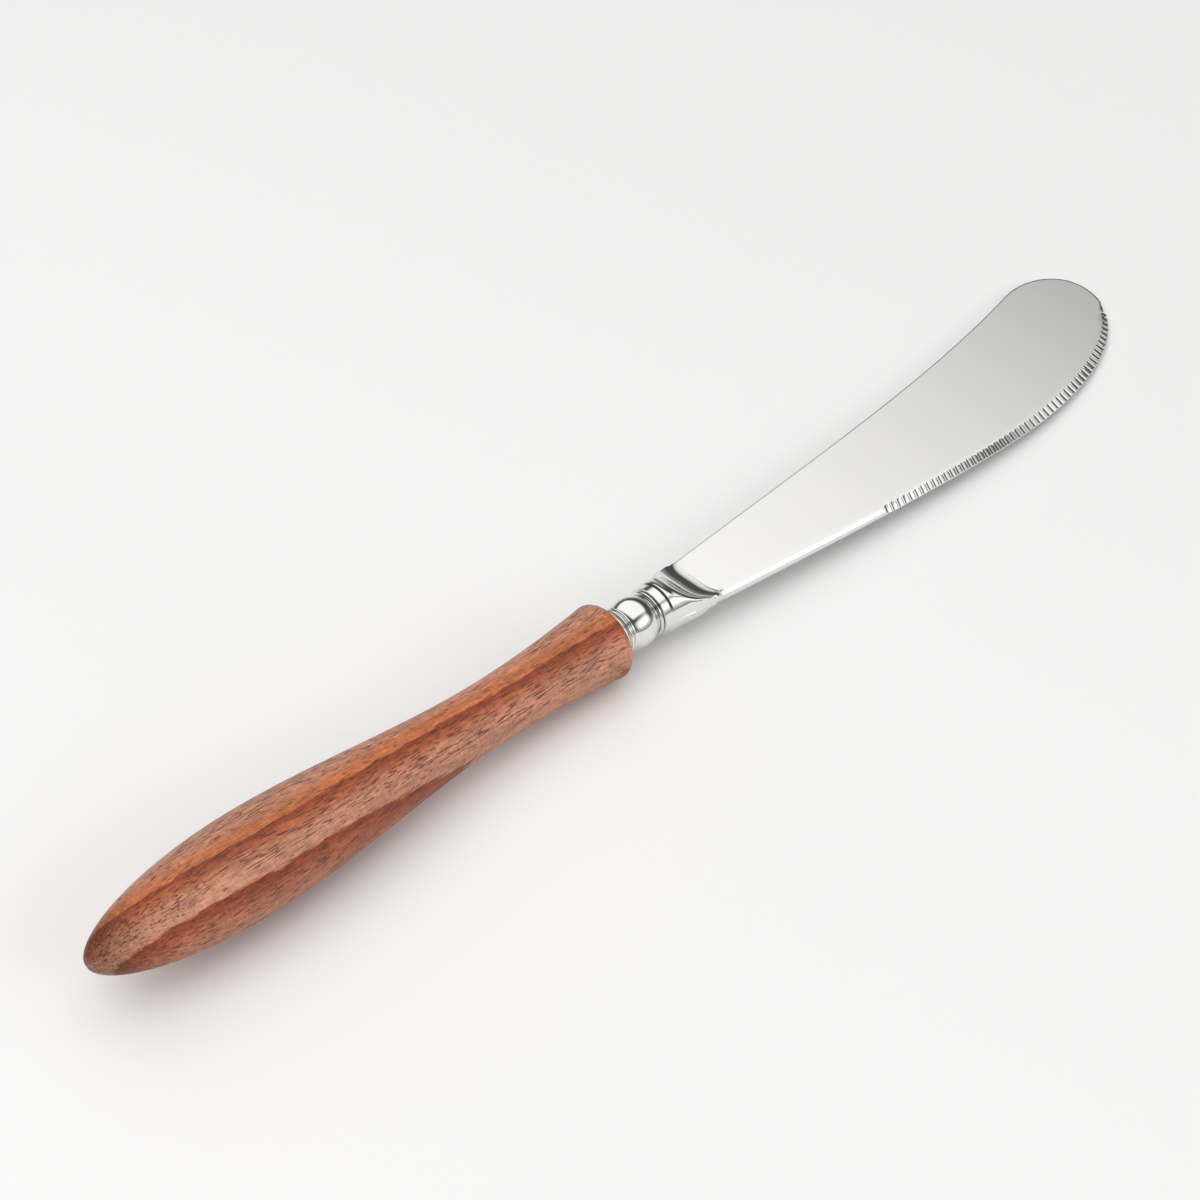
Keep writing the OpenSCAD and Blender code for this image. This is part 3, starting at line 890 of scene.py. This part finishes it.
class Edge:
    """The cutting side: which planes are ground at each place along it."""

    def __init__(self, shape):
        self.shape, self.e = shape, shape.e
        e = self.e
        self.runs = running(shape.edge)
        self.by_run_x = list(zip(self.runs, (p[0] for p in shape.edge)))
        self.by_run_y = list(zip(self.runs, (p[1] for p in shape.edge)))
        self.first = self.run_at(shape.heel + e.teeth_start)
        rising = [(p[1], r) for p, r in zip(shape.edge[PLAN_STEPS:], self.runs[PLAN_STEPS:])]
        end = lookup(e.teeth_end_y, rising)
        self.count = int((end - self.first) / e.tooth_pitch) + 1
        self.last = self.first + (self.count - 1) * e.tooth_pitch
        self.half = (e.tooth_pitch - e.tooth_ridge) / 2
        self.radius = (self.half ** 2 + e.flute_depth ** 2) / (2 * e.flute_depth)

    def point(self, run):
        """Place on the edge at a length run along it."""
        return lookup(run, self.by_run_x), lookup(run, self.by_run_y)

    def run_at(self, x):
        """Length run along the edge, from the heel to a place on its straight half."""
        outline = self.shape.edge[:PLAN_STEPS + 1]
        return lookup(x, [(p[0], run) for p, run in zip(outline, self.runs)])

    def places(self):
        """Lengths run along the edge at which the mesh has a station."""
        e = self.e
        join = self.run_at(self.shape.join)
        plain_end = self.first - RUN_IN[0]
        count = int((plain_end - join) / PLAIN_STEP)
        places = [join + (plain_end - join) * i / count for i in range(count)]
        places += [self.first - d for d in RUN_IN]
        for k in range(self.count):
            middle = self.first + k * e.tooth_pitch
            places += [middle + self.half * i / FLUTE_COLUMNS
                       for i in range(-FLUTE_COLUMNS, FLUTE_COLUMNS + 1)]
            if k < self.count - 1:
                places.append(middle + e.tooth_pitch / 2)
        places += [self.last + d for d in reversed(RUN_IN)]
        plain_start = self.last + RUN_IN[0]
        rest = self.runs[-1] - plain_start
        count = int(rest / SPINE_STEP)
        return places + [plain_start + rest * (i + 1) / count for i in range(count)]

    def ground(self, run):
        """(start of the relief, start of the main plane, its slant, start of the roll-off)."""
        e = self.e
        bevel = (e.bevel_w + e.relief_w, e.bevel_w, e.bevel_slant)
        k = min(max(round((run - self.first) / e.tooth_pitch), 0), self.count - 1)
        middle = self.first + k * e.tooth_pitch
        x, y = self.point(middle)
        slant = lookup(middle - self.first,
                       [(0, e.first_slant), (e.slant_run, e.flute_slant)])
        cut = (2 * self.shape.half_t(x, y) - e.edge_land) / math.tan(slant)
        cut *= 1 - NOSE_NARROWING * smooth_step(1 - (self.last - middle) / NOSE_RUN)
        # Kept just inside the flute's circle, where its root is real
        off = min(abs(run - middle), self.radius * 0.999)
        raised = self.radius - math.sqrt(self.radius ** 2 - off ** 2)
        outside = run < self.first or run > self.last
        if not outside:
            raised = min(raised, e.flute_depth)
        start = cut - raised / math.sin(slant)
        if outside:
            if start <= bevel[1]:
                return (*bevel, bevel[0])
            return bevel[0], start, slant, max(bevel[0], start)
        return cut - e.flute_depth / 2, start, slant, cut

    def rows(self, run):
        """The ground section as (inward distance, depth under its own face, upper?)."""
        e = self.e
        relief, main, slant, top = self.ground(run)
        roll = e.roll_w

        def depth(back):
            sunk = max((top + roll - back) / roll, 0.0) if roll > 0 else 0.0
            rolled = e.roll_depth * (sunk * sunk if sunk < 1 else 2 * sunk - 1)
            return max(rolled, (relief - back) * math.tan(e.relief_slant),
                       (main - back) * math.tan(slant))

        first = max(relief, main)
        steep, shallow = math.tan(slant), math.tan(e.relief_slant)
        meet = (main * steep - relief * shallow) / (steep - shallow)
        second = min(meet, first - ROW_GAP)
        over = max(top, first) + EDGE_BREAK
        backs = (top + roll, top + roll * ROLL_MIDDLE, over, first, second, 0.0)
        under = [(0.0, EDGE_BREAK), (EDGE_BREAK, 0.0)] + [(back, 0.0) for back in UNDER_ROWS]
        return ([(back, depth(back), True) for back in backs]
                + [(back, sunk, False) for back, sunk in under])


def spine_rows(f):
    """The rounded spine's section in the same form as the ground one."""
    soft = f.spine_round
    half = [(soft * 1.75, 0.0)] + [
        (soft * (1 - math.sin(a)), soft * (1 - math.cos(a)))
        for a in (0, math.pi / 6, math.pi / 3, math.pi / 2)]
    return [(back, depth, True) for back, depth in half] + [
        (back, depth, False) for back, depth in reversed(half)]


def section(shape, point, outward, rows):
    """Places a section's rows at a station of the outline."""
    placed = []
    for back, depth, upper in rows:
        x, y = point[0] - outward[0] * back, point[1] - outward[1] * back
        z = shape.half_t(x, y) - depth
        placed.append(Vector((x, y, z if upper else -z)))
    return placed


def outward_at(before, after):
    """Outward direction between two neighbouring points, clockwise round the outline."""
    way = Vector((after[0] - before[0], after[1] - before[1])).normalized()
    return -way.y, way.x


def blade_sections(shape, edge):
    """All sections round the outline: spine side to the nose, then the edge back."""
    spine = outline_stations(shape)
    placed = []
    for i, point in enumerate(spine[:-1]):
        outward = outward_at(spine[max(i - 1, 0)], spine[i + 1])
        placed.append(section(shape, point, outward, spine_rows(shape.f)))
    for run in reversed(edge.places()):
        point = edge.point(run)
        outward = outward_at(edge.point(run + EDGE_PROBE), edge.point(run - EDGE_PROBE))
        if run > edge.runs[-1] - EDGE_PROBE:
            outward = (1.0, 0.0)
        own = section(shape, point, outward, edge.rows(run))
        past = smooth_step((run - edge.last - RUN_IN[0]) / END_BLEND)
        if past > 0:
            plain = section(shape, point, outward, spine_rows(shape.f))
            own = [a.lerp(b, past) for a, b in zip(own, plain)]
        placed.append(own)
    return placed


def forge(mesh, shape):
    """Builds the whole forging as one skin."""
    rings = []
    for place, radius in shape.bolster_profile():
        if radius <= 0:
            rings.append([mesh.verts.new((place, 0, 0))])
        else:
            rings.append([mesh.verts.new(p) for p in round_ring(place, radius)])
    edge = Edge(shape)
    for i in range(NECK_STEPS + 1):
        place = shape.neck + (shape.join - shape.neck) * i / NECK_STEPS
        rings.append([mesh.verts.new(p) for p in neck_ring(shape, edge, place)])
    skin(mesh, rings)
    last = rings[-1]
    spine_side = last[:ROWS]
    under = last[ROWS:ROWS + FACE_POINTS]
    edge_side = last[ROWS + FACE_POINTS:2 * ROWS + FACE_POINTS]
    upper = last[2 * ROWS + FACE_POINTS:]
    bands = [spine_side]
    bands += [[mesh.verts.new(p) for p in points] for points in blade_sections(shape, edge)[1:-1]]
    bands.append(edge_side[::-1])
    skin(mesh, bands, closed=False)
    # Each of the blade's two faces is one flat polygon
    top = [band[0] for band in bands] + upper
    bottom = [band[-1] for band in bands] + under[::-1]
    mesh.faces.new(top)
    mesh.faces.new(bottom[::-1])


def soften_neck(data, shape):
    """Clears the sharp edges on the neck, whose corners are all polished round."""
    back = knife_frame().inverted()
    start, end = shape.neck + shape.f.shoulder_w, shape.join
    for line in data.edges:
        if line.use_edge_sharp:
            places = [(back @ data.vertices[i].co).x for i in line.vertices]
            if min(places) > start and max(places) < end:
                line.use_edge_sharp = False


class KNIFE_OT_forging(bpy.types.Operator):
    """Build the forging: tang, bolster, neck and the blade with its fluted edge"""

    bl_idname = "knife.forging"
    bl_label = "Forged blade"

    def execute(self, context):
        mesh = bmesh.new()
        shape = Forging(context.scene)
        forge(mesh, shape)
        metal = polished_steel("polished_steel", context.scene.knife_forging.steel, MIRROR_FINISH)
        piece = finish_piece("forged_blade", mesh, FORGED_CREASE, metal, "blade")
        soften_neck(piece.data, shape)
        weigh = piece.modifiers.new("even_shading", "WEIGHTED_NORMAL")
        weigh.keep_sharp = True
        return {"FINISHED"}


class KNIFE_OT_adhesive(bpy.types.Operator):
    """Give the adhesive round the tang its finish"""

    bl_idname = "knife.adhesive"
    bl_label = "Tang adhesive"

    def execute(self, context):
        sleeve = frame["nodes"]["tang_adhesive"].data
        sleeve.materials.clear()
        sleeve.materials.append(cured_adhesive(context.scene.knife_adhesive.amber))
        return {"FINISHED"}


# The room's panels. The broad one overhead has two spans, along the knife and across it: each
# runs from dark over its full light to dark again, in ceiling heights from the point over the
# knife. The side panel and its core: azimuth, elevation, half width, half height and softness
# in degrees, as seen from the knife.
TOP_ALONG = (-0.5, -0.3, 0.85, 1.6)
TOP_ACROSS = (-0.66, -0.38, 1.8, 3.0)
SIDE_PANEL = (-74, 31, 31, 16, 13)
SIDE_CORE = (-76, 30, 5, 5, 8)

# Upward lean over which the light of the horizon fades into that of the ceiling, the least
# lean that is divided by, and the least lean towards a panel at which it shows
HORIZON_FADE = (0.02, 0.3)
LEAST_LEAN = 0.001
LIT_LEAN = 0.01


def way_to(azimuth, elevation):
    """Direction at angles in degrees; azimuth counts from the tip's side."""
    a, e = math.radians(azimuth), math.radians(elevation)
    return Vector((math.cos(a) * math.cos(e), math.sin(a) * math.cos(e), math.sin(e)))


class Room(NodeTree):
    """Builds the room's light as a strength that depends on the direction."""

    def __init__(self, tree):
        super().__init__(tree)
        self.way = self.add("ShaderNodeTexCoord").outputs["Generated"]

    def towards(self, direction):
        """How far the way that the light comes from leans towards a direction."""
        node = self.add("ShaderNodeVectorMath")
        node.operation = "DOT_PRODUCT"
        self.link(self.way, node.inputs[0])
        node.inputs[1].default_value = direction
        return node.outputs["Value"]

    def fade(self, value, start, end):
        """One below the start, zero past the end, with a smooth step between."""
        node = self.add("ShaderNodeMapRange")
        node.interpolation_type = "SMOOTHSTEP"
        node.inputs["From Min"].default_value = start
        node.inputs["From Max"].default_value = end
        node.inputs["To Min"].default_value = 1.0
        node.inputs["To Max"].default_value = 0.0
        self.link(value, node.inputs["Value"])
        return node.outputs[0]

    def facing(self, direction, radiance):
        """The lean towards a direction, safe to divide by, and a light on that side alone."""
        ahead = self.math("MAXIMUM", self.towards(direction), LEAST_LEAN)
        lit = self.math("GREATER_THAN", ahead, LIT_LEAN)
        return ahead, self.math("MULTIPLY", lit, radiance)

    def shell(self, horizon, ceiling):
        """The room itself, from its horizon up to its ceiling."""
        share = self.fade(self.towards((0, 0, 1)), *HORIZON_FADE)
        return self.math("ADD", self.math("MULTIPLY", share, horizon - ceiling), ceiling)

    def overhead(self, along, across, radiance):
        """The soft panel on the ceiling, with a span on each axis."""
        up, light = self.facing((0, 0, 1), radiance)
        for axis, span in (((1, 0, 0), along), ((0, 1, 0), across)):
            place = self.math("DIVIDE", self.towards(axis), up)
            light = self.math("MULTIPLY", light, self.fade(place, span[2], span[3]))
            back = self.math("MULTIPLY", place, -1.0)
            light = self.math("MULTIPLY", light, self.fade(back, -span[1], -span[0]))
        return light

    def panel(self, azimuth, elevation, half_width, half_height, softness, radiance):
        """A soft panel round a direction; its sizes are angles as seen from the knife."""
        middle = way_to(azimuth, elevation)
        right = Vector((0, 0, 1)).cross(middle).normalized()
        ahead, light = self.facing(middle, radiance)
        for side, half in ((right, half_width), (middle.cross(right), half_height)):
            off = self.math("DIVIDE", self.math("ABSOLUTE", self.towards(side)), ahead)
            near = math.tan(math.radians(max(half - softness, 0.0)))
            far = math.tan(math.radians(half + softness))
            light = self.math("MULTIPLY", light, self.fade(off, near, far))
        return light


# The soft fill lamp: azimuth and elevation in degrees, then distance, width and height in
# metres. The floor: half its side in metres, cells, and cycles per metre of its clouds.
FILL_PANEL = (190, 50, 1.2, 1.4, 1.0)
FLOOR_HALF = 2.0
FLOOR_CELLS = 8
FLOOR_CLOUD = (3, 3, 3)

# The camera: width of its sensor in millimetres, and its reach in metres
SENSOR_WIDTH = 36
CAMERA_REACH = (0.02, 20)


def panel_lamp(name, placed, radiance, aim):
    """A soft lamp that faces the knife and that its metal does not mirror."""
    azimuth, elevation, distance, width, height = placed
    lamp = bpy.data.lights.new(name, "AREA")
    lamp.shape, lamp.size, lamp.size_y = "RECTANGLE", width, height
    lamp.energy = radiance * math.pi * width * height
    way = way_to(azimuth, elevation)
    piece = bpy.data.objects.new(name, lamp)
    piece.location = Vector(aim) + way * distance
    piece.rotation_euler = way.to_track_quat("Z", "Y").to_euler()
    piece.visible_glossy = False
    bpy.context.scene.collection.objects.link(piece)


class KNIFE_OT_studio(bpy.types.Operator):
    """Set up the floor, the light of the room, the fill lamp and the camera"""

    bl_idname = "knife.studio"
    bl_label = "Studio"

    def execute(self, context):
        studio = context.scene.knife_studio
        self.floor(studio)
        self.room(context.scene, studio)
        panel_lamp("fill_panel", FILL_PANEL, studio.fill_light, studio.camera_aim)
        self.camera(context.scene, studio)
        context.scene.view_settings.view_transform = "Standard"
        return {"FINISHED"}

    def floor(self, studio):
        """Plain pale floor under the knife."""
        mesh = bmesh.new()
        bmesh.ops.create_grid(mesh, x_segments=FLOOR_CELLS, y_segments=FLOOR_CELLS,
                              size=FLOOR_HALF)
        data = bpy.data.meshes.new("pale_floor")
        mesh.to_mesh(data)
        mesh.free()
        look = Nodes("pale_floor")
        shade = look.mix(look.noise(FLOOR_CLOUD), studio.floor_colour,
                         paler(studio.floor_colour, 1.02))
        look.link(shade, look.shader.inputs["Base Color"])
        look.shader.inputs["Roughness"].default_value = 0.6
        data.materials.append(look.material)
        floor = bpy.data.objects.new("pale_floor", data)
        bpy.context.scene.collection.objects.link(floor)
        floor.location.z = cad_box[0].z

    def room(self, scene, studio):
        """Light of the room: a dim shell, a broad panel overhead and one at the side."""
        world = bpy.data.worlds.new("soft_room")
        scene.world = world
        world.use_nodes = True
        room = Room(world.node_tree)
        light = room.shell(studio.horizon, studio.ceiling)
        for panel in (room.overhead(TOP_ALONG, TOP_ACROSS, studio.top_light),
                      room.panel(*SIDE_PANEL, studio.side_light),
                      room.panel(*SIDE_CORE, studio.side_core)):
            light = room.math("ADD", light, panel)
        backdrop = room.tree.nodes["Background"]
        backdrop.inputs["Color"].default_value = (*studio.room_tint, 1)
        room.link(light, backdrop.inputs["Strength"])

    def camera(self, scene, studio):
        """Camera at the photo's angle; its azimuth counts from the cutting side."""
        data = bpy.data.cameras.new("studio_camera")
        data.lens, data.sensor_width = studio.lens, SENSOR_WIDTH
        data.clip_start, data.clip_end = CAMERA_REACH
        a, e = studio.camera_azimuth, studio.camera_elevation
        back = Vector((math.sin(a) * math.cos(e), -math.cos(a) * math.cos(e), math.sin(e)))
        camera = bpy.data.objects.new("studio_camera", data)
        camera.location = Vector(studio.camera_aim) + back * studio.camera_distance
        camera.rotation_euler = (-back).to_track_quat("-Z", "Y").to_euler()
        scene.collection.objects.link(camera)
        scene.camera = camera


class KNIFE_PT_panel(bpy.types.Panel):
    """Sizes and steps of the butter knife"""

    bl_idname = "KNIFE_PT_panel"
    bl_label = "Butter knife"
    bl_space_type = "VIEW_3D"
    bl_region_type = "UI"
    bl_category = "Knife"

    def draw(self, context):
        for step, groups in STEPS:
            box = self.layout.box()
            box.operator(step.bl_idname)
            for group in groups:
                sizes = getattr(context.scene, group)
                for name in sizes.__annotations__:
                    box.prop(sizes, name)


STEPS = (
    (KNIFE_OT_handle, ("knife_handle",)),
    (KNIFE_OT_collar, ("knife_collar",)),
    (KNIFE_OT_forging, ("knife_forging", "knife_edge")),
    (KNIFE_OT_adhesive, ("knife_adhesive",)),
    (KNIFE_OT_studio, ("knife_studio",)),
)
GROUPS = (
    ("knife_handle", HandleSizes),
    ("knife_collar", CollarSizes),
    ("knife_forging", ForgingSizes),
    ("knife_edge", EdgeSizes),
    ("knife_adhesive", AdhesiveLook),
    ("knife_studio", StudioSizes),
)


def register():
    for name, group in GROUPS:
        bpy.utils.register_class(group)
        setattr(bpy.types.Scene, name, PointerProperty(type=group))
    for step, _ in STEPS:
        bpy.utils.register_class(step)
    bpy.utils.register_class(KNIFE_PT_panel)


def unregister():
    bpy.utils.unregister_class(KNIFE_PT_panel)
    for step, _ in reversed(STEPS):
        bpy.utils.unregister_class(step)
    for name, group in reversed(GROUPS):
        delattr(bpy.types.Scene, name)
        bpy.utils.unregister_class(group)


def main():
    register()
    bpy.ops.knife.handle()
    bpy.ops.knife.collar()
    bpy.ops.knife.forging()
    bpy.ops.knife.adhesive()
    bpy.ops.knife.studio()
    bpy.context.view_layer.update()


if __name__ == "__main__":
    main()
